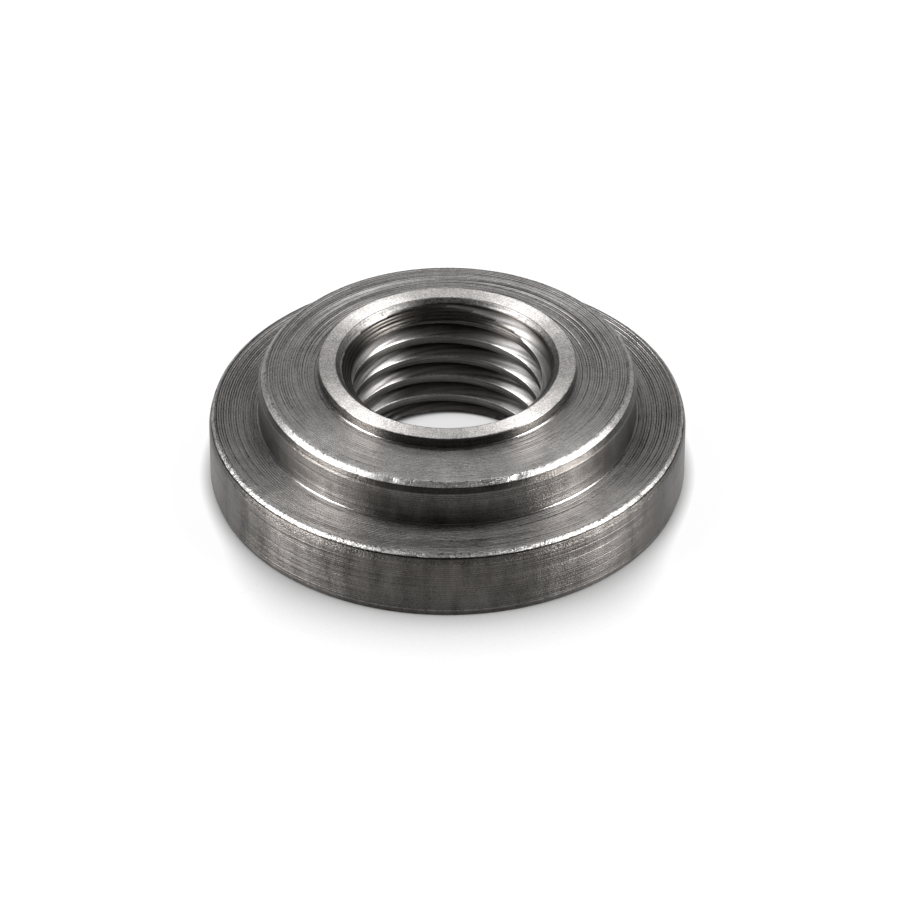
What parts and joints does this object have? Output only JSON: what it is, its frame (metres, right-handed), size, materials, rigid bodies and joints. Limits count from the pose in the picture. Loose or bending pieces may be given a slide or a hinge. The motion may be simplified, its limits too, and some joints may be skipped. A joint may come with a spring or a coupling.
{
  "type": "crank lock nut",
  "caption": "Round stepped lock nut with a broad flange, a smaller step, a low collar and a threaded through hole.",
  "frame": {"origin": "centre of the clamping face, the flat underside of the flange", "axes": "+Z along the thread axis, from the clamping face towards the collar; the nut is round, so X and Y only fix where the thread starts"},
  "size_m": [0.025, 0.025, 0.0071],
  "materials": {
    "turned_steel": "bare turned steel, dark and slightly worn, with fine tool rings and bright rubbed edges"
  },
  "bodies": {
    "root": {"lock_nut": "turned_steel"}
  },
  "joints": []
}
